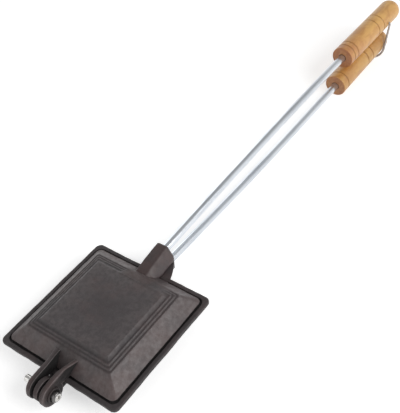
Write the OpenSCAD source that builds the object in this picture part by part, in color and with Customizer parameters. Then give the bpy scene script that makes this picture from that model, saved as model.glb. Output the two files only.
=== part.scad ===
// Stovetop sandwich maker: two cast iron pans hinged at one end, each on a long steel rod
// with a turned wood handle, held shut by a wire bail.
// Millimetres. +X runs from the hinge towards the handles, +Z is up. The origin is the centre
// of the lower pan's flat underside, the face that rests on the stove.

/* [Pans] */
// Outside width of the lower pan's square rim
rim_w = 125; // [118:1:132]
// Height from a pan's flat face to the parting plane
half_h = 17.5; // [16.5:0.5:20]
// How far the lower rim stands out past the upper pan
lip_w = 5.3; // [4:0.1:6]
// Thickness of the lower rim's lip
lip_t = 3.4; // [3:0.2:4]
// Width across the top of the sloping skirt
skirt_top_w = 89.8; // [86:0.2:94]
// Height of the top of the skirt above the parting plane
skirt_h = 12.8; // [12:0.1:13.5]
// Width of the flat panel inside the stepped border
panel_w = 70.2; // [66:0.2:74]
// Width across the mouth of the hollow that holds the bread
mouth_w = 107; // [100:0.5:108]
// Thickness of the flat panel
panel_t = 4.3; // [4:0.1:5]

/* [Hinge] */
// Distance from the lower rim to the hinge axis
hinge_out = 13.7; // [12.2:0.1:14]
// Radius of the round ends of the hinge plates
plate_r = 11; // [10:0.2:11.2]
// Thickness of each hinge plate
plate_t = 4.3; // [3.6:0.1:4.8]
// Gap between neighbouring hinge plates
plate_gap = 2.8; // [1.5:0.1:3]
// Diameter of the hinge screw
screw_d = 6; // [5:0.5:6.5]

/* [Rods and handles] */
// Diameter of the steel rods
rod_d = 8; // [7:0.5:9]
// Length of the upper rod between its pan and its handle
upper_reach = 328.5; // [300:0.5:360]
// Length of the lower rod between its pan and its handle
lower_reach = 314; // [280:0.5:328.5]
// Length of the upper wood handle
upper_handle_l = 129; // [128:1:131]
// Length of the lower wood handle
lower_handle_l = 116; // [112:1:128]
// Diameter of each wood handle
handle_d = 24.5; // [23:0.1:25]

/* [Latch] */
// Diameter of the bail's wire
wire_d = 2.4; // [2:0.1:2.6]
// Lean of the hooked bail towards the pans, in degrees
bail_lean = 24; // [18:0.5:28]

/* [Hidden] */
$fn = 96;

iron = [0.29, 0.28, 0.275];
steel = [0.74, 0.76, 0.78];
wood = [0.80, 0.62, 0.37];
wire_grey = [0.46, 0.45, 0.46];

// Pans: the parting plane, the skirt's slope, the steps of the border (across, up) from the
// skirt's top inwards, and the groove in the lower rim around the upper pan's foot
part_z = half_h;
base_w = rim_w - 2 * lip_w;
skirt_foot = 0.8;
rim_round = 5;
panel_round = 1.2;
floor_round = 2.5;
edge_round = 0.7;
tread = 1.5;
riser = 1.13;
sliver = 0.05;
floor_w = mouth_w - 35;
seat_gap = 0.2;
seat_back = 2.6;
moat_out = 1.3;
moat_depth = 1.6;

// Hinge: plates stand across Y, the two outer ones are on the upper pan, and the middle one is
// a little smaller. The whole hinge sits off the middle, towards the screw's head.
hinge_x = -rim_w / 2 - hinge_out;
hinge_y = -2.3;
tongue_short = 0.8;
fit_clear = 0.05;
plate_pitch = plate_t + plate_gap;
fork_face = plate_pitch + plate_t / 2;
crown_r = 100;
crown_h = 12;
crown_out = 13;
web_lift = 0.8;
flare = [[18, 0], [25, 2.1], [33, 3.6]];
washer_boss_r = 6.4;
washer_boss_h = 1.8;
head_d = 9.4;
head_h = 3.8;
socket_af = 4;
socket_depth = 2.2;
nut_af = 10;
nut_h = 3.6;
screw_past = 10.2;

// Rear bosses, each section as [half width, shoulder height, half width of the top, height],
// and the rods' line: it leaves the boss sloping away from the parting plane, bows back over
// its whole length and ends leaning slightly in
boss_x1 = 80;
boss_nose = 1.4;
boss_y = 0.6;
boss_end = [10.4, 9, 5.2, 15.6];
boss_mid = [10.2, 7.6, 5.6, 12.2];
boss_root = [8.5, 2, 5.2, 7.2];
boss_mid_x = 60;
boss_root_x = 47;
boss_lift = 0.8;
boss_drop = 0.4;
rod_rise = 8.7;
rod_slope = 2.9;
rod_bow = 3.8;
socket_l = 14;
tang_d = 7.6;
tang_from = 7;
rod_in_handle = 84;

// Handles: distances from the front face
counterbore_d = 8.8;
counterbore_l = 8;
groove_r = 0.7;
upper_grooves = [8.2, 16, 68.5, 81];
lower_grooves = [10, 59.3, 71];
pivot_at = 92;
front_round = 0.8;

// Bail: the legs, and the round bottom that passes under the lower handle
bail_gap = 0.6;
bail_side_gap = 0.5;
stub_reach = 6.4;
corner_r = 1.9;
wire_r = wire_d / 2;
loop_r = handle_d / 2 + bail_side_gap + wire_r;

// End of a rod's bowed length, measured from the boss: [along X, away from the parting plane]
function bow_radius(reach) = reach / (rod_bow * PI / 180);
function rod_end(reach) = let(r = bow_radius(reach), x = r * sin(rod_bow), z = -r * (1 - cos(rod_bow)))
    [boss_x1 + x * cos(rod_slope) - z * sin(rod_slope),
     rod_rise + x * sin(rod_slope) + z * cos(rod_slope)];

// Where the bail turns, and how far its bottom lies from there along the legs
upper_front = rod_end(upper_reach);
lower_front = rod_end(lower_reach);
handle_lean = rod_slope - rod_bow;
pivot_x = upper_front[0] + pivot_at * cos(handle_lean);
pivot_z = part_z + upper_front[1] + pivot_at * sin(handle_lean);
under_x = pivot_x - (pivot_z - part_z + handle_d) * tan(bail_lean);
under_z = part_z - lower_front[1] - (under_x - lower_front[0]) * tan(handle_lean)
    - (handle_d / 2 + bail_gap + wire_r);
bail_l = (pivot_z - under_z) / cos(bail_lean);

// A square plate with rounded corners, standing on z = 0
module slab(w, r, h) {
    linear_extrude(h) {
        square([w - 2 * r, w], center = true);
        square([w, w - 2 * r], center = true);
        for (sx = [-1, 1], sy = [-1, 1])
            translate([sx * (w / 2 - r), sy * (w / 2 - r)]) circle(r);
    }
}

// A four-sided frustum with rounded corners between two heights
module frustum(w0, r0, z0, w1, r1, z1) {
    hull() {
        translate([0, 0, z0]) slab(w0, r0, sliver, $fn = 32);
        translate([0, 0, z1 - sliver]) slab(w1, r1, sliver, $fn = 32);
    }
}

// Outside of a pan's dished part: the sloping skirt, two small steps and the last slope up to
// the flat panel. Each step is a flat tread and then a riser at about 45 degrees.
module dish() {
    step_w = 2 * (tread + riser);
    last_w = skirt_top_w - 2 * tread - 2 * step_w;
    last_run = (last_w - panel_w) / (half_h - skirt_h - 2 * riser);
    frustum(base_w, rim_round, skirt_foot, skirt_top_w, panel_round + 1, skirt_h);
    for (i = [0, 1])
        frustum(skirt_top_w - 2 * tread - i * step_w + 2, panel_round + 1,
                skirt_h + i * riser - 1, skirt_top_w - (i + 1) * step_w, panel_round,
                skirt_h + (i + 1) * riser);
    frustum(last_w + last_run, panel_round, skirt_h + 2 * riser - 1,
            panel_w, panel_round, half_h);
}

// The hollow that holds one half of the sandwich
module hollow() {
    run = (mouth_w - floor_w) / (half_h - panel_t);
    frustum(mouth_w + run, rim_round, -1, floor_w, floor_round, half_h - panel_t);
}

// The lower pan's rim, with its outer edges eased, and the groove around the upper pan's foot
module rim() {
    hull() {
        slab(rim_w - 2 * edge_round, rim_round - edge_round, lip_t, $fn = 32);
        translate([0, 0, edge_round]) slab(rim_w, rim_round, lip_t - 2 * edge_round, $fn = 32);
    }
}

module moat() {
    translate([0, 0, -1]) difference() {
        slab(base_w + 2 * moat_out, rim_round + moat_out, moat_depth + 1);
        translate([0, 0, -1]) slab(base_w - 2 * seat_back + 0.6, rim_round, moat_depth + 3);
    }
}

// The socket for the rod, which rises out of the skirt and widens to its end
module boss(lift) {
    hull() {
        boss_section(boss_root_x, boss_root, 0, lift);
        boss_section(boss_mid_x, boss_mid, 0, lift);
        boss_section(boss_x1, boss_end, 0, lift);
        boss_section(boss_x1 + boss_nose, boss_end, boss_nose, lift);
    }
}

module boss_section(x, sizes, inset, lift) {
    w = sizes[0] - inset;
    top_w = sizes[2] - inset / 2;
    translate([x, boss_y, 0]) rotate([90, 0, 90]) linear_extrude(sliver)
        polygon([[-w, lift], [w, lift], [w, sizes[1]], [top_w, sizes[3] - inset],
                 [-top_w, sizes[3] - inset], [-w, sizes[1]]]);
}

// The rod's hole in the boss
module socket_bore() {
    translate([boss_x1, 0, rod_rise]) rotate([0, 90 - rod_slope, 0])
        translate([0, 0, -socket_l]) cylinder(h = socket_l + 10, r = rod_d / 2 + fit_clear);
}

// Outline of a hinge plate's web: its crowned edge runs from the round end into the skirt
module web_outline(lift) {
    skirt_x = -base_w / 2;
    skirt_run = (base_w - skirt_top_w) / 2 / (skirt_h - skirt_foot);
    intersection() {
        translate([hinge_x + crown_out, crown_h - crown_r]) circle(crown_r, $fn = 360);
        polygon([[hinge_x, lift], [skirt_x + 3, lift], [skirt_x + 3, skirt_foot],
                 [skirt_x + 3 + (crown_h - skirt_foot) * skirt_run, crown_h], [hinge_x, crown_h]]);
    }
}

// A plate centred on y, with its web. Where side isn't 0 the web flares to that side as it
// meets the skirt.
module hinge_plate(y, side, lift) {
    translate([hinge_x, y + plate_t / 2, 0]) rotate([90, 0, 0])
        cylinder(h = plate_t, r = plate_r);
    intersection() {
        rotate([90, 0, 0]) linear_extrude(4 * plate_pitch, center = true) web_outline(lift);
        translate([hinge_x, y, 0]) linear_extrude(crown_h + 1)
            polygon(concat([[0, -side * plate_t / 2], [0, side * plate_t / 2]],
                           [for (p = flare) [p[0], side * (plate_t / 2 + p[1])]],
                           [[flare[2][0], -side * plate_t / 2]]));
    }
}

// The middle plate, whose web runs straight into the skirt
module hinge_tongue(lift) {
    translate([hinge_x, hinge_y + plate_t / 2, 0]) rotate([90, 0, 0]) {
        cylinder(h = plate_t, r = plate_r - tongue_short);
        translate([-hinge_x, 0, 0]) linear_extrude(plate_t) web_outline(lift);
    }
}

module hinge_bore() {
    translate([hinge_x, hinge_y, 0]) rotate([90, 0, 0])
        cylinder(h = 4 * plate_pitch, r = screw_d / 2 + fit_clear, center = true);
}

// A pan with the parting plane at z = 0 and its flat panel upwards
module lower_pan_shape() {
    difference() {
        union() {
            rim();
            dish();
            boss(boss_drop);
            hinge_tongue(web_lift);
        }
        hollow();
        moat();
        socket_bore();
        hinge_bore();
    }
}

module lower_pan() {
    color(iron) translate([0, 0, part_z]) mirror([0, 0, 1]) lower_pan_shape();
}

module upper_pan() {
    color(iron) translate([0, 0, part_z]) difference() {
        union() {
            translate([0, 0, seat_gap]) slab(base_w - 2 * seat_back, rim_round, skirt_foot);
            dish();
            boss(boss_lift);
            translate([0, hinge_y, 0]) {
                for (side = [-1, 1]) hinge_plate(side * plate_pitch, side, web_lift);
                translate([hinge_x, -fork_face + 1, 0]) rotate([90, 0, 0])
                    cylinder(h = washer_boss_h + 1, r = washer_boss_r);
            }
        }
        hollow();
        socket_bore();
        hinge_bore();
    }
}

// The screw's round head is on the near side, and its plain end passes through the nut
module hinge_screw() {
    color(steel) translate([hinge_x, hinge_y, part_z]) difference() {
        union() {
            translate([0, fork_face + screw_past, 0]) rotate([90, 0, 0])
                cylinder(h = 2 * fork_face + screw_past + washer_boss_h + 1, r = screw_d / 2);
            translate([0, -fork_face - washer_boss_h, 0]) rotate([90, 0, 0]) button();
        }
        translate([0, -fork_face - washer_boss_h - head_h + socket_depth, 0]) rotate([90, 0, 0])
            cylinder(h = socket_depth + 1, r = socket_af / 2 / cos(30), $fn = 6);
    }
}

// The screw's head: a low round button, standing on z = 0
module button() {
    round_r = 1.8;
    rotate_extrude() {
        square([head_d / 2, head_h - round_r]);
        square([head_d / 2 - round_r, head_h]);
        translate([head_d / 2 - round_r, head_h - round_r]) circle(round_r, $fn = 48);
    }
}

module hinge_nut() {
    color(steel) translate([hinge_x, hinge_y + fork_face, part_z]) rotate([-90, 0, 0]) difference() {
        cylinder(h = nut_h, r = nut_af / 2 / cos(30), $fn = 6);
        translate([0, 0, -1]) cylinder(h = nut_h + 2, r = screw_d / 2 + fit_clear);
    }
}

// A rod with its bow curving towards -Z: the straight end in the boss, the bowed length up to
// just inside the handle's wide mouth, and a thinner straight tang in the handle
module rod(reach) {
    r = bow_radius(reach);
    front = rod_end(reach);
    translate([boss_x1, 0, rod_rise]) rotate([0, -rod_slope, 0]) {
        translate([-socket_l, 0, 0]) rotate([0, 90, 0]) cylinder(h = socket_l, r = rod_d / 2);
        translate([0, 0, -r]) rotate([0, -90, -90])
            rotate_extrude(angle = rod_bow * (reach + tang_from) / reach, $fn = 1440)
            translate([r, 0]) circle(d = rod_d, $fn = 64);
    }
    translate([front[0], 0, front[1]]) rotate([0, 90 - handle_lean, 0])
        translate([0, 0, tang_from - 2]) cylinder(h = rod_in_handle - tang_from + 2, r = tang_d / 2);
}

module upper_rod() {
    color(steel) translate([0, 0, part_z]) rod(upper_reach);
}

module lower_rod() {
    color(steel) translate([0, 0, part_z]) mirror([0, 0, 1]) rod(lower_reach);
}

// A turned handle along +Z with its front face at z = 0: grooves, a domed end, and a bore that
// opens out at the front
module handle(l, grooves) {
    r = handle_d / 2;
    rotate_extrude() difference() {
        union() {
            translate([0, front_round]) square([r, l - r - front_round]);
            square([r - front_round, front_round + 1]);
            translate([r - front_round, front_round]) circle(front_round, $fn = 48);
            translate([0, l - r]) intersection() {
                circle(r);
                square(r);
            }
        }
        for (z = grooves) translate([r, z]) circle(groove_r, $fn = 48);
        translate([-1, -1]) square([tang_d / 2 + fit_clear + 1, rod_in_handle + 2]);
        translate([-1, -1]) square([counterbore_d / 2 + 1, counterbore_l + 1]);
    }
}

module lower_handle() {
    color(wood) translate([lower_front[0], 0, part_z - lower_front[1]])
        rotate([0, 90 + handle_lean, 0]) handle(lower_handle_l, lower_grooves);
}

module upper_handle() {
    color(wood) difference() {
        translate([upper_front[0], 0, part_z + upper_front[1]])
            rotate([0, 90 - handle_lean, 0]) handle(upper_handle_l, upper_grooves);
        for (s = [-1, 1]) translate([pivot_x, s * (stub_reach + handle_d) / 2, pivot_z])
            rotate([90, 0, 0])
            cylinder(h = handle_d - stub_reach, r = wire_r + fit_clear, center = true);
    }
}

// The bail in its own plane: legs along -Z from the pivot, and a half ring below
module latch_bail() {
    color(wire_grey) translate([pivot_x, 0, pivot_z]) rotate([0, bail_lean, 0]) {
        for (s = [-1, 1]) scale_y(s) {
            translate([0, loop_r - corner_r, 0]) rotate([90, 0, 0])
                cylinder(h = loop_r - corner_r - stub_reach, r = wire_r);
            translate([0, loop_r - corner_r, -corner_r]) rotate([0, -90, 0]) rotate_extrude(angle = 90)
                translate([corner_r, 0]) circle(wire_r, $fn = 48);
            translate([0, loop_r, loop_r - bail_l]) cylinder(h = bail_l - loop_r - corner_r, r = wire_r);
        }
        translate([0, 0, loop_r - bail_l]) rotate([0, 90, 0]) rotate([0, 0, -90])
            rotate_extrude(angle = 180) translate([loop_r, 0]) circle(wire_r, $fn = 48);
    }
}

// Mirrors its children across Y where s is negative
module scale_y(s) {
    if (s < 0) mirror([0, 1, 0]) children();
    else children();
}

lower_pan();
upper_pan();
hinge_screw();
hinge_nut();
lower_rod();
upper_rod();
lower_handle();
upper_handle();
latch_bail();
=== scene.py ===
"""Dresses the stovetop sandwich maker: rough cast pans, plated rods, varnished handles.

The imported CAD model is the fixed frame. Each sub-assembly below is a class that builds and
finishes its own pieces. Everything is in metres, in the frame of the CAD model: the origin is
the middle of the lower pan's flat underside, +X runs to the handles and +Z is up.
"""
from __future__ import annotations

import logging
import math
from dataclasses import dataclass
from enum import Enum

import bpy
import numpy as np
from mathutils import Euler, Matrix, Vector

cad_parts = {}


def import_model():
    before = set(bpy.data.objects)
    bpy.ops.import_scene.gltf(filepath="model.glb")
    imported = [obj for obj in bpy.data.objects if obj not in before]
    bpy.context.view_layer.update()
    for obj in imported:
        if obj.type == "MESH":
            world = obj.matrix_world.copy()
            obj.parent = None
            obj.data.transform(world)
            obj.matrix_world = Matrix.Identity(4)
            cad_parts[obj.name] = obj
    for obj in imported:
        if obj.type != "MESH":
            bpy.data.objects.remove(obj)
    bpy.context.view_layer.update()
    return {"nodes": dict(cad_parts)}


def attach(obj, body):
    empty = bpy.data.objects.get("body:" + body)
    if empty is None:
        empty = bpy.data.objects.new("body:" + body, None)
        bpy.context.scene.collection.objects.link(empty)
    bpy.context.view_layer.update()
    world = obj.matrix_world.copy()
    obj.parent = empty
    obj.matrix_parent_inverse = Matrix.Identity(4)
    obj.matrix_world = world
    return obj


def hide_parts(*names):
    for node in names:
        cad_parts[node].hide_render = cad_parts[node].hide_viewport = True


log = logging.getLogger("sandwich_maker")

MM = 0.001


class Body(Enum):
    """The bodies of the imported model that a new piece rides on."""

    LOWER = "lower"
    UPPER = "upper"


class Slot(Enum):
    """The record's material slots."""

    IRON = "cast_iron"
    SCREW = "bright_screw"
    ROD = "plated_rod"
    WOOD = "varnished_wood"
    WIRE = "bail_wire"


class Graph:
    """Builds one material's or world's node tree from short calls."""

    def __init__(self, owner: bpy.types.Material | bpy.types.World) -> None:
        """Starts with an empty tree.

        Args:
            owner: The new material or world.
        """
        self.owner = owner
        self.owner.use_nodes = True
        self.tree = owner.node_tree
        self.tree.nodes.clear()

    def add(self, kind: str, inputs: dict | None = None, **settings: object) -> bpy.types.Node:
        """Adds a node.

        Args:
            kind: The node's type without its ShaderNode prefix.
            inputs: Values or output sockets for its inputs, by name or number.
            **settings: The node's own properties.

        Returns:
            The new node.
        """
        node = self.tree.nodes.new("ShaderNode" + kind)
        for key, value in settings.items():
            setattr(node, key, value)
        for key, value in (inputs or {}).items():
            socket = node.inputs[key]
            if isinstance(value, bpy.types.NodeSocket):
                self.tree.links.new(value, socket)
            else:
                socket.default_value = value
        return node

    def place(self) -> bpy.types.NodeSocket:
        """Returns the Object coordinates, which are metres in the model's frame."""
        return self.add("TexCoord").outputs["Object"]

    def noise(self, at: bpy.types.NodeSocket, scale: float, detail: float = 3.0,
              roughness: float = 0.5, distortion: float = 0.0) -> bpy.types.NodeSocket:
        """Adds a noise pattern.

        Args:
            at: The coordinates it is looked up by.
            scale: Features per metre.
            detail: Octaves.
            roughness: How strong the finer octaves are.
            distortion: How far the pattern is swirled.

        Returns:
            Its grey value, from 0 to 1.
        """
        return self.add("TexNoise", {"Vector": at, "Scale": scale, "Detail": detail,
                                     "Roughness": roughness, "Distortion": distortion}).outputs[0]

    def stretch(self, at: bpy.types.NodeSocket, size: tuple, turn: tuple = (0.0, 0.0, 0.0),
                move: tuple = (0.0, 0.0, 0.0)) -> bpy.types.NodeSocket:
        """Moves, turns and scales coordinates, in that order.

        Args:
            at: The coordinates.
            size: Scale along each axis.
            turn: Rotation in degrees.
            move: The point that becomes the origin.

        Returns:
            The new coordinates.
        """
        moved = self.add("Mapping", {"Vector": at, "Location": [-c for c in move]})
        turned = self.add("Mapping", {"Vector": moved.outputs[0], "Scale": size,
                                      "Rotation": [math.radians(c) for c in turn]},
                          vector_type="POINT")
        return turned.outputs[0]

    def math(self, operation: str, a: object, b: object = 0.0) -> bpy.types.NodeSocket:
        """Adds a Math node.

        Args:
            operation: What it does.
            a: First value or socket.
            b: Second value or socket.

        Returns:
            The result.
        """
        return self.add("Math", {0: a, 1: b}, operation=operation).outputs[0]

    def times(self, first: object, *more: object) -> bpy.types.NodeSocket:
        """Multiplies values or sockets.

        Args:
            first: The first factor.
            *more: The others.

        Returns:
            Their product.
        """
        for factor in more:
            first = self.math("MULTIPLY", first, factor)
        return first

    def span(self, value: bpy.types.NodeSocket, low: float, high: float, to_low: float = 0.0,
             to_high: float = 1.0, smooth: bool = True) -> bpy.types.NodeSocket:
        """Maps a range of values to another, clamped.

        Args:
            value: The input.
            low: The input that gives to_low.
            high: The input that gives to_high.
            to_low: Result at the low end.
            to_high: Result at the high end.
            smooth: Whether the ends ease in and out.

        Returns:
            The mapped value.
        """
        node = self.add("MapRange", {0: value, 1: low, 2: high, 3: to_low, 4: to_high},
                        interpolation_type="SMOOTHSTEP" if smooth else "LINEAR")
        return node.outputs[0]

    def reach(self, length: bpy.types.NodeSocket, none: float, full: float
              ) -> bpy.types.NodeSocket:
        """Maps a length to how far it has come from one place to another.

        Args:
            length: The length in metres.
            none: The place in millimetres that gives 0.
            full: The place in millimetres that gives 1.

        Returns:
            The share, eased at both ends.
        """
        return self.span(length, none * MM, full * MM)

    def mix(self, factor: object, a: object, b: object, blend: str = "MIX"
            ) -> bpy.types.NodeSocket:
        """Mixes two colours.

        Args:
            factor: Share of the second one.
            a: First colour, or the socket that gives it.
            b: Second colour, or the socket that gives it.
            blend: The way they are mixed.

        Returns:
            The mixed colour.
        """
        node = self.add("Mix", {0: factor}, data_type="RGBA", blend_type=blend)
        # of the node's sockets for each kind of data, these are the ones for colours
        for index, value in ((6, a), (7, b)):
            if isinstance(value, bpy.types.NodeSocket):
                self.tree.links.new(value, node.inputs[index])
            else:
                node.inputs[index].default_value = (*value, 1.0)
        return node.outputs[2]

    def bump(self, height: bpy.types.NodeSocket, depth: float, strength: float = 1.0,
             under: bpy.types.NodeSocket | None = None) -> bpy.types.NodeSocket:
        """Adds relief to the shading.

        Args:
            height: The pattern.
            depth: What a height of 1 stands for, in metres.
            strength: How much of it shows.
            under: Relief that this one is laid over.

        Returns:
            The normal.
        """
        inputs = {"Height": height, "Distance": depth, "Strength": strength}
        if under is not None:
            inputs["Normal"] = under
        return self.add("Bump", inputs).outputs[0]

    def close(self, **inputs: object) -> bpy.types.Material:
        """Ends the tree in a Principled shader.

        Args:
            **inputs: The shader's inputs, with an underscore for each space.

        Returns:
            The finished material.
        """
        named = {key.replace("_", " "): value for key, value in inputs.items()}
        shader = self.add("BsdfPrincipled", named)
        self.add("OutputMaterial", {"Surface": shader.outputs[0]})
        return self.owner


def waves(points: np.ndarray, length: float, seed: int, count: int = 14) -> np.ndarray:
    """An even, smooth unevenness: a sum of sine waves in random directions.

    Args:
        points: Places as rows of x, y and z.
        length: The middle wavelength; the waves run from half to twice of it.
        seed: Picks the directions and phases.
        count: How many waves are added.

    Returns:
        One value for each point, mostly between -1 and 1.
    """
    rng = np.random.default_rng(seed)
    way = rng.normal(size=(count, 3))
    way /= np.linalg.norm(way, axis=1, keepdims=True)
    pace = 2 * math.pi / (length * 2.0 ** rng.uniform(-1, 1, count))
    phase = rng.uniform(0, 2 * math.pi, count)
    return np.sin(points @ (way * pace[:, None]).T + phase).sum(1) * math.sqrt(1 / count)


def eased(stops: np.ndarray, ease: np.ndarray, pitch: float, steps: int = 4) -> np.ndarray:
    """A path through stops with its corners rounded and its long runs divided.

    A corner becomes a quadratic curve that starts and ends its ease away from the corner, or
    at 0.45 of a run where the run is short.

    Args:
        stops: One row for each stop. All columns are eased alike.
        ease: How far from each stop its rounding starts.
        pitch: The longest run that stays undivided.
        steps: Pieces that a rounded corner is made of.

    Returns:
        The rows of the path.
    """
    runs = np.linalg.norm(np.diff(stops[:, :3], axis=0), axis=1)
    path = [stops[:1]]
    share = np.linspace(0, 1, steps + 1)[:, None]
    for i in range(1, len(stops) - 1):
        back = min(ease[i] / runs[i - 1], 0.45)
        ahead = min(ease[i] / runs[i], 0.45)
        start = stops[i] + (stops[i - 1] - stops[i]) * back
        end = stops[i] + (stops[i + 1] - stops[i]) * ahead
        path.append((1 - share) ** 2 * start + 2 * share * (1 - share) * stops[i]
                    + share ** 2 * end if ease[i] > 0 else stops[i:i + 1])
    path.append(stops[-1:])
    path = np.concatenate(path)
    full = [path[:1]]
    for a, b in zip(path[:-1], path[1:]):
        parts = max(1, math.ceil(np.linalg.norm((b - a)[:3]) / pitch))
        full.append(a + (b - a) * np.linspace(0, 1, parts + 1)[1:, None])
    return np.concatenate(full)


def square_rings(half: np.ndarray, corner: np.ndarray, height: np.ndarray, along: int,
                 around: int) -> np.ndarray:
    """Rounded squares around the Z axis, one for each row.

    A point lies at (half - corner) times its place on a unit square, plus corner times its
    outward direction, which turns only at the square's corners.

    Args:
        half: Half the width of each square.
        corner: Its corner radius.
        height: Its height.
        along: Pieces along a straight side.
        around: Pieces around a corner.

    Returns:
        An array of rows, columns and x, y, z.
    """
    t = np.linspace(-1, 1, along + 1)[:-1]
    turn = np.linspace(0, math.pi / 2, around + 1)[:-1]
    seat = np.concatenate([np.stack([np.ones(along), t], 1), np.ones((around, 2))])
    out = np.concatenate([np.tile([1.0, 0.0], (along, 1)),
                          np.stack([np.cos(turn), np.sin(turn)], 1)])
    quarter = [np.array([[math.cos(a), math.sin(a)], [-math.sin(a), math.cos(a)]])
               for a in (0, math.pi / 2, math.pi, 3 * math.pi / 2)]
    seat = np.concatenate([seat @ q for q in quarter])
    out = np.concatenate([out @ q for q in quarter])
    flat = (half - corner)[:, None, None] * seat + corner[:, None, None] * out
    return np.concatenate([flat, np.broadcast_to(height[:, None, None], (*flat.shape[:2], 1))],
                          2)


def rounded_corners(corners: np.ndarray, ease: float, steps: int = 3) -> np.ndarray:
    """Closed outlines with every corner rounded by a quadratic curve.

    Args:
        corners: Rows of outlines, each with its corners as points in the plane.
        ease: How far from a corner its rounding starts.
        steps: Pieces for each corner.

    Returns:
        Rows of outlines with steps + 1 points for each corner.
    """
    last, ahead = np.roll(corners, 1, 1) - corners, np.roll(corners, -1, 1) - corners
    reach = [v * np.minimum(ease / np.maximum(np.linalg.norm(v, axis=2, keepdims=True), 1e-9),
                            0.45) for v in (last, ahead)]
    share = np.linspace(0, 1, steps + 1)[None, None, :, None]
    start, end = (corners + r for r in reach)
    curve = ((1 - share) ** 2 * start[:, :, None] + 2 * share * (1 - share) * corners[:, :, None]
             + share ** 2 * end[:, :, None])
    return curve.reshape(len(corners), -1, 2)


def skin(name: str, grid: np.ndarray, marks: dict | None = None) -> bpy.types.Object:
    """A closed mesh from a grid whose columns join around.

    The first and last rows are drawn together into single points. The faces are turned
    outwards by the sign of the volume that they enclose.

    Args:
        name: The piece's name.
        grid: Rows, columns and x, y, z.
        marks: Values for each row and column that a finish reads, by name.

    Returns:
        The new object.
    """
    rows, columns = grid.shape[:2]
    points = np.concatenate([grid[:1].mean(1), grid[1:-1].reshape(-1, 3), grid[-1:].mean(1)])
    at = 1 + np.arange((rows - 2) * columns).reshape(rows - 2, columns)
    right = np.roll(at, -1, 1)
    quads = np.stack([at[:-1], right[:-1], right[1:], at[1:]], 2).reshape(-1, 4)
    first = np.stack([np.zeros(columns, int), right[0], at[0]], 1)
    last = np.stack([np.full(columns, len(points) - 1), at[-1], right[-1]], 1)
    fans = np.concatenate([first, last])
    three = np.concatenate([quads[:, :3], quads[:, [0, 2, 3]], fans])
    a, b, c = (points[three[:, k]] for k in range(3))
    if np.einsum("ij,ij->i", a, np.cross(b, c)).sum() < 0:
        quads, fans = quads[:, ::-1], fans[:, ::-1]
    mesh = bpy.data.meshes.new(name)
    mesh.from_pydata(points.tolist(), [], quads.tolist() + fans.tolist())
    mesh.polygons.foreach_set("use_smooth", np.ones(len(mesh.polygons), bool))
    for mark, value in (marks or {}).items():
        value = np.broadcast_to(value, (rows, columns))
        value = np.concatenate([[value[0].mean()], value[1:-1].ravel(), [value[-1].mean()]])
        mesh.attributes.new(mark, "FLOAT", "POINT").data.foreach_set("value",
                                                                     value.astype(np.float32))
    mesh.update()
    piece = bpy.data.objects.new(name, mesh)
    bpy.context.scene.collection.objects.link(piece)
    return piece


def roughen(piece: bpy.types.Object, depth: float, length: float, seed: int) -> None:
    """Moves a mesh's points along their normals, as an uneven casting has.

    Args:
        piece: The piece.
        depth: The usual move in metres.
        length: The middle wavelength of the unevenness in metres.
        seed: Picks the pattern.
    """
    mesh = piece.data
    points = np.zeros(len(mesh.vertices) * 3, np.float32)
    normals = np.zeros(len(mesh.vertices) * 3, np.float32)
    mesh.vertices.foreach_get("co", points)
    mesh.vertex_normals.foreach_get("vector", normals)
    points, normals = points.reshape(-1, 3).astype(float), normals.reshape(-1, 3)
    points += normals * (depth * waves(points, length, seed))[:, None]
    mesh.vertices.foreach_set("co", points.astype(np.float32).ravel())
    mesh.update()


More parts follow.
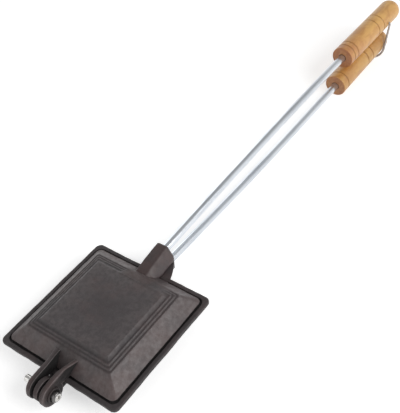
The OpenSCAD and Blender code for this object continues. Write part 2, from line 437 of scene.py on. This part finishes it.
@dataclass(frozen=True)
class CastIron:
    """Sand cast iron with a thin dark oil finish.

    A pace is a noise's features per metre, and a depth is a relief in millimetres.
    """

    cool: tuple = (0.042, 0.0355, 0.038)
    warm: tuple = (0.076, 0.048, 0.046)
    # the lighter colour stands for edge wear and painted highlights; the near black one is
    # painted shade
    worn_and_highlit: tuple = (0.150, 0.130, 0.128)
    painted_shade: tuple = (0.006, 0.005, 0.005)
    roughness: float = 0.48
    gloss: float = 0.50
    patch_pace: float = 26.0
    brown_pace: float = 60.0
    pit_pace: float = 170.0
    sheen_pace: float = 260.0
    wear_pace: float = 300.0
    grain_pace: float = 900.0
    speckle_pace: float = 1500.0
    pit_depth: float = 0.30
    grain_depth: float = 0.13

    def material(self) -> bpy.types.Material:
        """Returns the material: fine grains, wide warm patches, painted shade, and lighter edges
        for wear and painted highlights.
        """
        g = Graph(bpy.data.materials.new("cast_iron"))
        at = g.place()
        patches = g.span(g.noise(at, self.patch_pace, 4, 0.6), 0.46, 0.66, 0.05, 0.6)
        base = g.mix(g.math("MAXIMUM", patches, self.browned(g, at)), self.cool, self.warm)
        grains = g.noise(at, self.grain_pace, 4, 0.65)
        shade = g.span(grains, 0.25, 0.75, 0.80, 1.18, smooth=False)
        grey = g.add("CombineColor", {0: shade, 1: shade, 2: shade}).outputs[0]
        base = g.mix(1.0, base, grey, "MULTIPLY")
        # edge wear with painted highlights lightens the edges; painted shade darkens gaps,
        # creases and faces turned from the light
        wear_and_highlight = g.add("Attribute", attribute_name="wear_and_highlight").outputs["Fac"]
        painted_shade = g.add("Attribute", attribute_name="painted_shade").outputs["Fac"]
        wear_and_highlight_share = g.times(wear_and_highlight, 0.45, g.span(g.noise(at, self.wear_pace, 3), 0.35, 0.65, 0.3, 1.0))
        speckle = g.span(g.noise(at, self.speckle_pace, 2, 0.5), 0.62, 0.76)
        bare_and_highlit = g.math("MAXIMUM", wear_and_highlight_share, g.times(speckle, 0.22))
        base = g.mix(bare_and_highlit, base, self.worn_and_highlit)
        base = g.mix(g.times(painted_shade, 0.90), base, self.painted_shade)
        coarse = g.bump(g.noise(at, self.pit_pace, 3, 0.55), self.pit_depth * MM, 0.45)
        fine = g.bump(grains, self.grain_depth * MM, 0.7, coarse)
        rough = g.span(g.noise(at, self.sheen_pace, 3), 0.3, 0.7, self.roughness - 0.07,
                       self.roughness + 0.08)
        rough = g.math("ADD", rough, g.times(painted_shade, 0.35))
        return g.close(Base_Color=base, Roughness=rough, Normal=fine,
                       Specular_IOR_Level=self.gloss)

    def browned(self, g: Graph, at: bpy.types.NodeSocket) -> bpy.types.NodeSocket:
        """Where the fire browned the upper skirt and socket more than the panel and the rim.

        It grows with the distance from the middle, towards +X, -X and -Y, and runs on from
        the socket to the panel's edge.

        Args:
            g: The material's graph.
            at: The coordinates.

        Returns:
            The share of the warm colour.
        """
        x, y, z = g.add("SeparateXYZ", {0: at}).outputs
        outward = g.math("MAXIMUM", g.math("ABSOLUTE", x), g.math("SUBTRACT", 0.0, y))
        skirt = g.times(g.reach(outward, 34, 52),
                        g.span(g.noise(at, self.brown_pace, 3), 0.3, 0.65, 0.35, 1.0))
        beside = g.math("ABSOLUTE", g.math("ADD", y, 4 * MM))
        root = g.times(g.reach(beside, 19, 9), g.reach(x, 30, 40), g.reach(x, 58, 50))
        return g.times(g.math("MAXIMUM", skirt, root), g.reach(z, 17.6, 18.8))


@dataclass(frozen=True)
class PlatedSteel:
    """Drawn steel bar with bright zinc plating.

    Where darkening gives the x and z of an axis along Y and a radius, in millimetres, what lies
    further out is darker. A stretch is features per metre along X, Y and Z.
    """

    name: str = "plated_steel"
    colour: tuple = (0.72, 0.75, 0.79)
    dull: tuple = (0.55, 0.585, 0.63)
    roughness: float = 0.17
    metal: float = 0.92
    darkening: tuple | None = None
    darkening_ease: float = 0.4
    dark_tone: tuple = (0.05, 0.045, 0.045)
    line_stretch: tuple = (4, 900, 900)
    bloom_stretch: tuple = (14, 60, 60)

    def material(self) -> bpy.types.Material:
        """Returns the material: draw lines along the bar and a slightly uneven bloom."""
        g = Graph(bpy.data.materials.new(self.name))
        at = g.place()
        lines = g.noise(g.stretch(at, self.line_stretch), 1.0, 3, 0.6)
        bloom = g.noise(g.stretch(at, self.bloom_stretch), 1.0, 3, 0.55)
        base = g.mix(g.span(bloom, 0.35, 0.75), self.colour, self.dull)
        base = g.mix(g.times(g.span(lines, 0.42, 0.62), 0.5), base, self.dull)
        # darker beyond a radius from an axis along Y
        if self.darkening:
            x, z, radius = self.darkening
            out = g.add("VectorMath", {0: g.stretch(at, (1, 0, 1), move=(x * MM, 0, z * MM))},
                        operation="LENGTH").outputs["Value"]
            edge = g.reach(out, radius - self.darkening_ease, radius + self.darkening_ease)
            base = g.mix(g.times(edge, 0.85), base, self.dark_tone)
        rough = g.math("ADD", g.span(lines, 0.3, 0.7, self.roughness - 0.05,
                                     self.roughness + 0.08), g.span(bloom, 0.4, 0.7, 0.0, 0.08))
        return g.close(Base_Color=base, Metallic=self.metal, Roughness=rough,
                       Normal=g.bump(lines, 0.02 * MM, 0.4))


@dataclass(frozen=True)
class TurnedWood:
    """Varnished turned wood, with its grain along the handle.

    Lengths are in millimetres from the middle of the front face. Each pair of them says where
    something isn't there yet and where it is full. A stretch is features per metre along and
    across the grain.
    """

    name: str
    front: tuple
    lean: float
    grooves: tuple
    seed: float
    pale: tuple = (0.69, 0.386, 0.106)
    brown: tuple = (0.53, 0.252, 0.062)
    ruddy: tuple = (0.47, 0.190, 0.060)
    end: tuple = (0.33, 0.115, 0.036)
    burnt: tuple = (0.360, 0.170, 0.036)
    # painted shade inside the bore
    bore_shade: tuple = (0.020, 0.010, 0.006)
    ruddiness: float = 0.85
    swirl_stretch: tuple = (55, 95, 95)
    ring_stretch: tuple = (11, 110, 110)
    pore_stretch: tuple = (80, 1500, 1500)
    ruddy_reach: tuple = (62, 4)
    end_reach: tuple = (20, 12)
    groove_edge: tuple = (1.35, 0.45)
    bore_edge: tuple = (4.8, 4.5)
    bore_mouth: tuple = (0.1, 1.5)
    bore_end: tuple = (80, 70)

    def material(self) -> bpy.types.Material:
        """Returns the material: soft figure, pores, burnt grooves, ruddy end grain and painted
        shade inside the bore.
        """
        g = Graph(bpy.data.materials.new(self.name))
        local = g.stretch(g.place(), (1, 1, 1), (0, self.lean, 0),
                          tuple(size * MM for size in self.front))
        at = g.add("Mapping", {"Vector": local, "Location": (self.seed, 0.011, 0.034)}).outputs[0]
        along, y, z = g.add("SeparateXYZ", {0: local}).outputs
        away = g.math("SQRT", g.math("ADD", g.math("POWER", y, 2.0), g.math("POWER", z, 2.0)))
        pores = g.noise(g.stretch(at, self.pore_stretch), 1.0, 2, 0.6)
        base = self.figure(g, at, pores)
        ruddy = g.times(g.reach(along, *self.ruddy_reach),
                        g.span(g.noise(at, 120, 3), 0.3, 0.6, 0.45, 1.0))
        base = g.mix(g.times(ruddy, self.ruddiness), base, self.ruddy)
        facing = g.add("SeparateXYZ", {0: g.add("TexCoord").outputs["Normal"]}).outputs[0]
        front = g.times(g.span(facing, -0.55, -0.9), g.reach(along, *self.end_reach))
        grain = g.span(g.noise(at, 420, 4, 0.6), 0.35, 0.65, 0.55, 0.95)
        base = g.mix(g.times(front, grain), base, self.end)
        for groove in self.grooves:
            off = g.math("ABSOLUTE", g.math("SUBTRACT", along, groove * MM))
            line = g.times(g.reach(off, *self.groove_edge),
                           g.span(g.noise(at, 90, 2), 0.3, 0.6, 0.6, 0.95))
            base = g.mix(line, base, self.burnt)
        # painted shade: the inside of the bore is painted near black
        inside = g.times(g.reach(away, *self.bore_edge), g.reach(along, *self.bore_mouth),
                         g.reach(along, *self.bore_end))
        base = g.mix(g.times(inside, 0.96), base, self.bore_shade)
        relief = g.bump(pores, 0.05 * MM, 0.5)
        return g.close(Base_Color=base, Roughness=0.42, Normal=relief, Coat_Weight=0.35,
                       Coat_Roughness=0.18)

    def figure(self, g: Graph, at: bpy.types.NodeSocket, pores: bpy.types.NodeSocket
               ) -> bpy.types.NodeSocket:
        """The wood's own colour: stretched rings, a finer swirl and dark pores.

        Args:
            g: The material's graph.
            at: The coordinates along the handle, shifted by the seed.
            pores: The pores' pattern.

        Returns:
            The colour.
        """
        swirl = g.noise(g.stretch(at, self.swirl_stretch), 1.0, 3, 0.6, 0.6)
        rings = g.noise(g.stretch(at, self.ring_stretch), 1.0, 3, 0.5, 0.9)
        tone = g.math("ADD", g.times(rings, 0.38), g.times(swirl, 0.72))
        base = g.mix(g.span(tone, 0.44, 0.72), self.pale, self.brown)
        return g.mix(g.times(g.span(pores, 0.58, 0.72), 0.25), base, self.brown)


@dataclass
class Castings:
    """The two iron pans, each a square shell with its rod socket and its hinge plates.

    Sizes are in millimetres, with heights from the parting plane. Each half is as thick as the
    parting plane is high. The spans are places between which something comes and goes, and
    the sides are how far out along X it starts.
    """

    parting: float = 17.5
    panel_half: float = 35.1
    foot_half: float = 57.2
    rim_half: float = 62.5
    waver: float = 0.14
    waver_length: float = 26.0
    waver_span: tuple = (48, 56)
    waver_seed: int = 7
    grit: float = 0.07
    grit_length: float = 9.0
    grit_seed: int = 40
    socket_side: float = 34.0
    hinge_side: float = 40.0
    border: tuple = (35.0, 46.0)
    border_foot: float = 11.9
    melt_span: tuple = (-41, -30, 9, 13)
    dark_span: tuple = (-30, -18, 9, 13)
    hinge_span: tuple = (9, 14)
    socket_end: float = 81.4
    socket_off: float = 0.6
    mouth_r: float = 4.55
    bore_r: float = 4.1
    bore_end: float = 74.0
    rod_at: tuple = (80.0, 8.7)
    rod_slope: float = 2.9
    hinge: tuple = (-76.2, -2.3)
    plate_r: float = 11.0
    tongue_r: float = 10.2
    plate_half: float = 2.15
    plate_pitch: float = 7.1
    plate_lift: float = 0.8
    plate_ease: float = 0.6
    washer_r: float = 6.4
    iron: CastIron = CastIron()

    def build(self) -> None:
        """Makes both pans' pieces and dresses them."""
        iron = self.iron.material()
        for side, body, node in ((1, Body.UPPER, "upper_pan"), (-1, Body.LOWER, "lower_pan")):
            part = node.split("_")[0]
            shell = self.shell(part + "_pan_shell", side)
            pieces = [shell, self.boss(part + "_rod_socket", side)]
            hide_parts(node)
            if side > 0:
                pieces += [self.plate("near_hinge_plate", -1, side),
                           self.plate("far_hinge_plate", 1, side),
                           self.washer_boss("hinge_washer_boss")]
            else:
                pieces.append(self.plate("hinge_tongue", 0, side))
            for index, piece in enumerate(pieces):
                roughen(piece, self.grit * MM, self.grit_length * MM, self.grit_seed + index)
                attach(piece, body.value)
                dress(piece, iron)

    def placed(self, grid: np.ndarray, side: int) -> np.ndarray:
        """Puts a grid given from the parting plane into the frame, in metres.

        Args:
            grid: Points with their height away from the parting plane.
            side: 1 for the upper pan, -1 for the lower one.

        Returns:
            The points in the frame.
        """
        return (grid * (1, 1, side) + (0, 0, self.parting)) * MM

    def profile(self, side: int) -> np.ndarray:
        """A pan's profile, from the panel's middle out to the rim and back inside.

        Args:
            side: 1 for the upper pan, -1 for the lower one with its rim.

        Returns:
            Rows of half width, corner radius, height, painted shade, and edge wear with painted
            highlights.
        """
        # half width, corner radius, height, ease, painted shade, edge wear with painted
        # highlights
        outside = [(0, 0, self.parting, 0, 0, 0),
                   (self.panel_half, 1.2, self.parting, 0.6, 0, 0.8),
                   (38.14, 1.3, 15.06, 0.3, 0.5, 0), (39.64, 1.4, 15.06, 0.4, 0, 0.7),
                   (40.77, 1.5, 13.93, 0.3, 0.5, 0), (42.27, 1.6, 13.93, 0.4, 0, 0.7),
                   (43.4, 1.8, 12.8, 0.3, 0.5, 0), (44.9, 2.2, 12.8, 0.5, 0, 0.7)]
        if side > 0:
            foot = [(self.foot_half, 5, 0.8, 0.35, 0.1, 0.9), (54.6, 4.4, 0.75, 0.3, 1, 0),
                    (54.6, 4.4, 0.2, 0.1, 1, 0)]
        else:
            foot = [(54.5, 5, 3.4, 0.8, 0.7, 0), (self.rim_half, 5, 3.4, 1.0, 0.6, 0.1),
                    (self.rim_half, 5, 0, 1.1, 0.35, 0.3), (58.6, 5.6, 0, 0.5, 0.4, 0.5),
                    (58.3, 5.6, 1.6, 0.4, 1, 0), (54.9, 4.6, 1.6, 0.3, 1, 0),
                    (54.9, 4.6, 0, 0.2, 0.8, 0)]
        inside = [(53.5, 4.8, 0.2 if side > 0 else 0, 0.4, 0.4, 0.3), (36, 2.5, 13.2, 3, 0.2, 0),
                  (0, 0, 13.2, 0, 0, 0)]
        stops = np.array(outside + foot + inside, float)
        return eased(stops[:, [0, 1, 2, 4, 5]], stops[:, 3], pitch=2.2)

    def shell(self, name: str, side: int) -> bpy.types.Object:
        """A pan's skin: its profile carried around rounded squares.

        Args:
            name: The piece's name.
            side: 1 for the upper pan, -1 for the lower one.

        Returns:
            The piece.
        """
        rows = self.profile(side)
        half, corner, height, painted_shade, wear_and_highlight = rows.T
        grid = square_rings(half, corner, height, along=52, around=8)
        # the skirt's foot and the rim waver a little
        wave = waves(grid.reshape(-1, 3) * (1, 1, 0.3), self.waver_length, self.waver_seed + side)
        wave = wave.reshape(grid.shape[:2]) * np.interp(half, self.waver_span, (0, 1))[:, None]
        away = np.linalg.norm(grid[..., :2], axis=2, keepdims=True)
        grid[..., :2] += grid[..., :2] / np.maximum(away, 1) * (self.waver * wave)[..., None]
        # the border's steps melt into one slope where the rod's socket runs up to the panel
        x, y = grid[..., 0], grid[..., 1]
        start, end = self.border
        stepped = (np.arange(len(rows)) < half.argmax()) & (half > start) & (half < end)
        melt = (np.interp(y, self.melt_span, (0, 1, 1, 0)) * (x > self.socket_side)
                * stepped[:, None])
        slope = np.interp(half, (self.panel_half, end), (self.parting, self.border_foot))
        grid[..., 2] += melt * (slope[:, None] - grid[..., 2])
        # painted shade: the skirt is darker beside the socket, and between and beside the hinge
        # plates
        near = np.interp(y, self.dark_span, (0, 0.4, 0.4, 0)) * (x > self.socket_side)
        near += (np.interp(np.abs(y - self.hinge[1]), self.hinge_span, (0.4, 0))
                 * (x < -self.hinge_side))
        near *= (height > 1)[:, None]
        marks = {"painted_shade": np.maximum(painted_shade[:, None] * (1 - melt), near),
                 "wear_and_highlight": wear_and_highlight[:, None] * (1 - melt)}
        return skin(name, self.placed(grid, side), marks)

    def socket_rows(self, side: int) -> tuple[np.ndarray, np.ndarray]:
        """The socket's six-cornered sections, from inside the skirt out to its end.

        Args:
            side: 1 for the upper pan, -1 for the lower one, which spreads into the rim on the
                near side.

        Returns:
            The places along X, and an outline of y and height for each of them.
        """
        # along X, half width, shoulder height, half width of the top, height, and half width at
        # the parting plane on the near side
        if side > 0:
            stops = [(47.2, 9.5, 6.8, 5.2, 8.8, 10.0), (60, 12.0, 1.8, 5.6, 12.2, 12.4),
                     (70, 11.4, 3.8, 5.4, 13.9, 11.7), (80, 10.8, 5.8, 5.2, 15.6, 11.0),
                     (self.socket_end, 9.7, 5.4, 4.6, 14.3, 9.9)]
        else:
            stops = [(47.2, 9, 2, 5.2, 7.2, 20), (60, 10.2, 7.6, 5.6, 12.2, 21.5),
                     (70, 10.3, 8.3, 5.4, 13.9, 17.5), (80, 10.4, 9, 5.2, 15.6, 10.9),
                     (self.socket_end, 9.1, 8.3, 4.6, 14.3, 9.8)]
        rows = eased(np.array(stops, float), np.array([0, 4, 4, 0.8, 0]), pitch=1.6)
        x, half, shoulder, top, height, below = rows.T
        # the foot stays over the skirt's inner face
        foot = np.maximum(0.8 if side > 0 else 0.4, (53.5 - x) * 0.754 + 1.3)
        shoulder = np.maximum(shoulder, foot + 0.3)
        height = np.maximum(height, shoulder + 0.3)
        y = np.stack([-below, np.minimum(0.88 * below, 11), 0.88 * half, top, -top, -half], 1)
        z = np.stack([foot, foot, shoulder, height, height, shoulder], 1)
        return x, rounded_corners(np.stack([y, z], 2), ease=1.0)

    def boss(self, name: str, side: int) -> bpy.types.Object:
        """The rod's socket, which grows out of the skirt to an end face with a bore.

        Args:
            name: The piece's name.
            side: 1 for the upper pan, -1 for the lower one.

        Returns:
            The piece.
        """
        x, outline = self.socket_rows(side)
        columns = outline.shape[1]
        last = outline[-1]
        body = np.concatenate([x[:, None, None] + 0 * outline[..., :1],
                               outline + (self.socket_off, 0)], 2)
        ring = last - last.mean(0)
        way = np.arctan2(ring[:, 1], ring[:, 0])
        circle = np.stack([np.cos(way), np.sin(way)], 1)
        end = self.socket_end
        rise = self.rod_at[1] + (end - self.rod_at[0]) * math.tan(math.radians(self.rod_slope))
        # along X, share of the outline in a ring between it and the bore, radius
        rings = [(end, 0.5, 5.0), (end, 0, self.mouth_r), (end - 0.5, 0, self.bore_r),
                 (self.bore_end, 0, self.bore_r), (self.bore_end, 0, 0)]
        caps = []
        for where, share, radius in rings:
            flat = last * share + (circle * radius + (0, rise)) * (1 - share)
            flat += (self.socket_off * share, 0)
            caps.append(np.concatenate([np.full((columns, 1), where), flat], 1))
        start = np.broadcast_to(body[0].mean(0), body[0].shape)
        grid = np.concatenate([start[None], body, np.stack(caps)])
        # painted shade: a little darker on the top and near black inside the bore; edge wear with
        # a painted highlight along its near edge where it leaves the skirt
        corner = columns // 6
        painted_shade, wear_and_highlight = np.zeros(grid.shape[:2]), np.zeros(grid.shape[:2])
        painted_shade[:, 3 * corner:5 * corner] = 0.25
        painted_shade[-3:] = 1
        edge = slice(4 * corner + 1, 5 * corner)
        wear_and_highlight[:, edge] = np.interp(grid[:, edge, 0], (54, 62), (1.4, 0.2))
        return skin(name, self.placed(grid, side), {"painted_shade": painted_shade, "wear_and_highlight": wear_and_highlight})

    def plate_outline(self, radius: float) -> np.ndarray:
        """A hinge plate's outline: a round end, a crowned edge and a straight underside.

        Args:
            radius: The round end's radius.

        Returns:
            Points from the hinge's axis, across and up.
        """
        start = 2 * math.pi + math.asin(self.plate_lift / radius)
        around = np.linspace(start, math.pi / 2 + 0.12, 60)
        arc = np.stack([np.cos(around), np.sin(around)], 1) * radius
        along = np.linspace(1, 30.2, 26)
        crown = np.stack([along, -88 + np.sqrt(100 ** 2 - (along - 13) ** 2)], 1)
        tail = np.array([(29.2, 8.0), (25.2, 4.0), (22.0, self.plate_lift)])
        under = np.stack([np.linspace(19, 12, 6), np.full(6, self.plate_lift)], 1)
        return np.concatenate([arc, crown, tail, under])

    def plate(self, name: str, place: int, side: int) -> bpy.types.Object:
        """A hinge plate: its outline drawn in towards a point on both faces.

        The outer plates flare away from the middle as they meet the skirt.

        Args:
            name: The piece's name.
            place: -1 for the near plate, 0 for the tongue, 1 for the far plate.
            side: 1 for the upper pan, -1 for the lower one.

        Returns:
            The piece.
        """
        outline = self.plate_outline(self.plate_r if place else self.tongue_r)
        heart = np.array([8.0, 4.0])
        centred = outline - heart
        size = np.linalg.norm(centred, axis=1, keepdims=True)
        # inset from the outline, and place across the thickness from -1 to 1
        ease = self.plate_ease
        turn = np.linspace(0, math.pi / 2, 5)
        inset = np.concatenate([[1e3, 8, 5, 2.5], ease * (1 - np.sin(turn))])
        depth = np.concatenate([[-1] * 4, -1 + ease / self.plate_half * (1 - np.cos(turn))])
        # edge wear with painted highlights on the crest's edges; darkening is the share of the
        # painted shade, thinner there
        wear_and_highlight = np.array([0, 0, 0, 0, 0.6, 1.7, 2.5, 1.4, 0.2])
        darkening = np.array([1, 1, 1, 1, 1, 0.5, 0.1, 0.3, 0.6])
        inset, wear_and_highlight, darkening = (np.concatenate([row, row[::-1]]) for row in (inset, wear_and_highlight, darkening))
        depth = np.concatenate([depth, -depth[::-1]])
        flat = heart + centred * np.clip(1 - inset[:, None, None] / size, 0, 1)
        along, up = flat[..., 0], flat[..., 1]
        if place:
            outer = (depth * place > 0)[:, None]
            # the crest flares more than the face under it, and its two edges meet at its tip
            crest = np.clip((up - 3) / 5, 0, 1)
            flare = np.interp(along, (18, 25, 33), (0, 2.1, 3.6)) * (0.4 + 0.6 * crest)
            narrow = np.interp(along, (12, 30), (0, 4.4 if place < 0 else 2.4)) * crest
            grow = place * np.where(outer, flare, narrow)
            # painted shade: dark between the plates, and on the outer faces where they run under
            # the flare
            under = np.interp(along, (2, 16), (0.7, 1.1)) * (inset[:, None] > 0.7)
            painted_shade = np.where(outer, under, 1.1)
        else:
            # the tongue's root thickens, and on the nut's side it spreads into the rim behind
            # the far plate's round end
            far = np.interp(along, (8, 11.3, 11.6, 13), (0, 1.9, 3, 6.5))
            grow = np.where((depth > 0)[:, None], far, -np.interp(along, (6, 10.5), (0, 2.2)))
            # painted shade over the whole tongue, which sits between the plates
            painted_shade = np.full_like(along, 0.9)
        y = self.hinge[1] + place * self.plate_pitch + depth[:, None] * self.plate_half + grow
        grid = np.stack([along + self.hinge[0], y, up], 2)
        marks = {"painted_shade": painted_shade * darkening[:, None], "wear_and_highlight": wear_and_highlight[:, None]}
        return skin(name, self.placed(grid, side), marks)

    def washer_boss(self, name: str) -> bpy.types.Object:
        """The low round boss under the screw's head: a profile turned about the hinge axis.

        Args:
            name: The piece's name.

        Returns:
            The piece.
        """
        # radius, distance from the middle of the hinge
        stops = np.array([(0, 8, 0), (self.washer_r, 8, 0), (self.washer_r, 11.05, 0),
                          (5.4, 11.05, 0), (5.2, 10.85, 0), (0, 10.85, 0)], float)
        rows = eased(stops, np.array([0, 0, 0.6, 0.15, 0.1, 0]), pitch=1.5)
        radius, out = rows[:, :1], rows[:, 1:2]
        turn = np.linspace(0, 2 * math.pi, 49)[:-1]
        grid = np.stack([self.hinge[0] + radius * np.cos(turn),
                         self.hinge[1] - out + 0 * turn, radius * np.sin(turn)], 2)
        # painted shade: darkest on the face under the screw's head, dark on the rest
        painted_shade = np.where((out > 10.7) & (radius < 5.5), 1.0, 0.6)
        return skin(name, self.placed(grid, 1), {"painted_shade": painted_shade, "wear_and_highlight": 0.1})


@dataclass
class HingeScrew:
    """The screw through the hinge and its nut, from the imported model."""

    # the head and the nut are darker beyond 3.3 mm from the hinge's axis
    steel: PlatedSteel = PlatedSteel("bright_screw", colour=(0.84, 0.83, 0.81),
                                     dull=(0.54, 0.53, 0.51), roughness=0.26, metal=1.0,
                                     darkening=(-76.2, 17.5, 3.3))

    def build(self, nodes: dict) -> None:
        """Gives the screw and the nut their bright finish.

        Args:
            nodes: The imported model's nodes by name.
        """
        steel = self.steel.material()
        for name in ("hinge_screw", "hinge_nut"):
            dress(nodes[name], steel)


@dataclass
class Grips:
    """The rods, the handles and the bail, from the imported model.

    The handles lean towards each other by the same angle in degrees.
    """

    lean: float = 0.9
    bar: PlatedSteel = PlatedSteel()
    wire: PlatedSteel = PlatedSteel("bail_wire", colour=(0.46, 0.42, 0.40),
                                    dull=(0.32, 0.29, 0.28), roughness=0.38, metal=1.0)

    def build(self, nodes: dict) -> None:
        """Gives the rods, the handles and the bail their finishes.

        Args:
            nodes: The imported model's nodes by name.
        """
        bar = self.bar.material()
        for name in ("lower_rod", "upper_rod"):
            dress(nodes[name], bar)
        dress(nodes["latch_bail"], self.wire.material())
        upper = TurnedWood("upper_wood", front=(408.39, 0, 31.93), lean=self.lean,
                           grooves=(8.2, 16, 68.5, 81), seed=0.020)
        # the lower handle's wood is painted darker, as painted shade under the upper handle
        lower = TurnedWood("lower_wood", front=(393.89, 0, 3.32), lean=-self.lean,
                           grooves=(10, 59.3, 71), seed=0.410, pale=(0.59, 0.335, 0.096),
                           brown=(0.44, 0.210, 0.052), ruddiness=0.35)
        dress(nodes["upper_handle"], upper.material())
        dress(nodes["lower_handle"], lower.material())


def dress(piece: bpy.types.Object, material: bpy.types.Material) -> None:
    """Gives a piece its material.

    Args:
        piece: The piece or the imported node.
        material: Its finish.
    """
    if not piece.material_slots:
        piece.data.materials.append(material)
    for entry in piece.material_slots:
        entry.link = "OBJECT"
        entry.material = material
    log.info("%s dressed in %s", piece.name, material.name)


@dataclass
class Studio:
    """A white floor, a white surround under a dimmer ceiling, and soft lamps.

    The floor meets the maker at two places along X. A lamp has a name, a place, a side in
    metres and a power in watts.
    """

    white: tuple = (1, 1, 1, 1)
    floor_white: tuple = (0.80, 0.80, 0.80, 1)
    floor_glow: float = 0.55
    floor_half: float = 6.0
    floor_slope: float = 1.19
    rests_at: tuple = (-0.1173, -0.0351)
    dome_span: tuple = (0.15, 0.85)
    horizon: float = 0.85
    zenith: float = 0.18
    mirror_span: tuple = (0.12, 0.70)
    mirror_zenith: float = 0.26
    middle: tuple = (0.10, 0.0, 0.02)
    lamps: tuple = (("key_lamp", (0.25, -1.05, 0.80), 0.8, 10.0),
                    ("fill_lamp", (-1.0, 0.35, 0.8), 0.9, 2.0),
                    ("back_lamp", (0.8, 1.1, 0.55), 0.9, 2.2))

    def build(self) -> None:
        """Lays the floor under the closed maker and hangs the lamps."""
        self.floor()
        self.world()
        for lamp in self.lamps:
            self.lamp(*lamp)

    def floor(self) -> None:
        """A floor that the flat face's hinge edge and the lower handle's underside touch.

        It falls away a little to the other side too, for the upper pan laid open there.
        """
        size, (left, right) = self.floor_half, self.rests_at
        drop = math.tan(math.radians(self.floor_slope)) * (size - right)
        across = ((-size, -drop), (left, 0.0), (right, 0.0), (size, -drop))
        points = [(x, y, z) for x, z in across for y in (-size, size)]
        mesh = bpy.data.meshes.new("floor")
        mesh.from_pydata(points, [], [(i, i + 2, i + 3, i + 1) for i in (0, 2, 4)])
        floor = bpy.data.objects.new("floor", mesh)
        bpy.context.scene.collection.objects.link(floor)
        g = Graph(bpy.data.materials.new("floor_white"))
        path = g.add("LightPath").outputs
        mirrored = g.math("MAXIMUM", path["Is Glossy Ray"], path["Is Transmission Ray"])
        seen = g.math("MAXIMUM", path["Is Camera Ray"], mirrored)
        matt = g.add("BsdfDiffuse", {"Color": self.floor_white})
        glow = g.add("Emission", {"Color": self.white, "Strength": self.floor_glow})
        both = g.add("AddShader", {0: matt.outputs[0], 1: glow.outputs[0]})
        pick = g.add("MixShader", {0: seen, 1: matt.outputs[0], 2: both.outputs[0]})
        # clear from below, so that the underside can be looked at
        clear = g.add("MixShader", {0: g.add("NewGeometry").outputs["Backfacing"],
                                    1: pick.outputs[0], 2: g.add("BsdfTransparent").outputs[0]})
        g.add("OutputMaterial", {"Surface": clear.outputs[0]})
        mesh.materials.append(g.owner)

    def world(self) -> None:
        """White to the camera, and for light and reflections a dome that dims to its top."""
        g = Graph(bpy.data.worlds.new("studio"))
        bpy.context.scene.world = g.owner
        path = g.add("LightPath").outputs
        up = g.add("SeparateXYZ", {0: g.add("TexCoord").outputs["Generated"]}).outputs[2]
        light = g.span(up, *self.dome_span, self.horizon, self.zenith)
        dome = g.add("Background", {0: self.white, 1: light})
        white = g.add("Background", {0: self.white, 1: 1.0})
        # reflections and clear things see the white surround too, and a paler ceiling
        mirrored = g.math("MAXIMUM", path["Is Glossy Ray"], path["Is Transmission Ray"])
        shown = g.times(mirrored, g.span(up, *self.mirror_span, 1.0, self.mirror_zenith,
                                         smooth=False))
        seen = g.math("MAXIMUM", path["Is Camera Ray"], shown)
        mix = g.add("MixShader", {0: seen, 1: dome.outputs[0], 2: white.outputs[0]})
        g.add("OutputWorld", {"Surface": mix.outputs[0]})

    def lamp(self, name: str, at: tuple, size: float, power: float) -> None:
        """Hangs a square soft lamp that faces the pans.

        Args:
            name: The lamp's name.
            at: Where it hangs.
            size: Its side in metres.
            power: Its power in watts.
        """
        data = bpy.data.lights.new(name, "AREA")
        data.shape = "SQUARE"
        data.size = size
        data.energy = power
        lamp = bpy.data.objects.new(name, data)
        bpy.context.scene.collection.objects.link(lamp)
        lamp.location = at
        lamp.rotation_euler = (Vector(self.middle) - Vector(at)).to_track_quat(
            "-Z", "Y").to_euler()


@dataclass
class PhotoCamera:
    """The camera, as fitted to the photograph's edges."""

    place: tuple = (-0.235580, -0.323336, 0.510387)
    turn: tuple = (45.70556, 4.98319, -54.83686)
    lens: float = 65.5059
    shift: tuple = (-0.02316, -0.00465)

    def build(self) -> None:
        """Makes the camera the scene's own."""
        data = bpy.data.cameras.new("photo_camera")
        data.lens = self.lens
        data.sensor_width = 36.0
        data.sensor_fit = "AUTO"
        data.shift_x, data.shift_y = self.shift
        data.clip_start, data.clip_end = 0.01, 50.0
        camera = bpy.data.objects.new("photo_camera", data)
        bpy.context.scene.collection.objects.link(camera)
        camera.location = self.place
        camera.rotation_euler = Euler([math.radians(a) for a in self.turn], "XYZ")
        bpy.context.scene.camera = camera


def corners(box: tuple) -> list:
    """Turns a box into plain lists.

    Args:
        box: Its lowest and highest corner.

    Returns:
        The two corners.
    """
    return [list(map(float, corner)) for corner in box]


def main() -> None:
    """Loads the frame, dresses every piece and sets the stage."""
    logging.basicConfig(level=logging.INFO, format="%(message)s")
    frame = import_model()
    bpy.context.scene.view_settings.view_transform = "Standard"
    PhotoCamera().build()
    Castings().build()
    HingeScrew().build(frame["nodes"])
    Grips().build(frame["nodes"])
    Studio().build()
    bpy.context.view_layer.update()


if __name__ == "__main__":
    main()
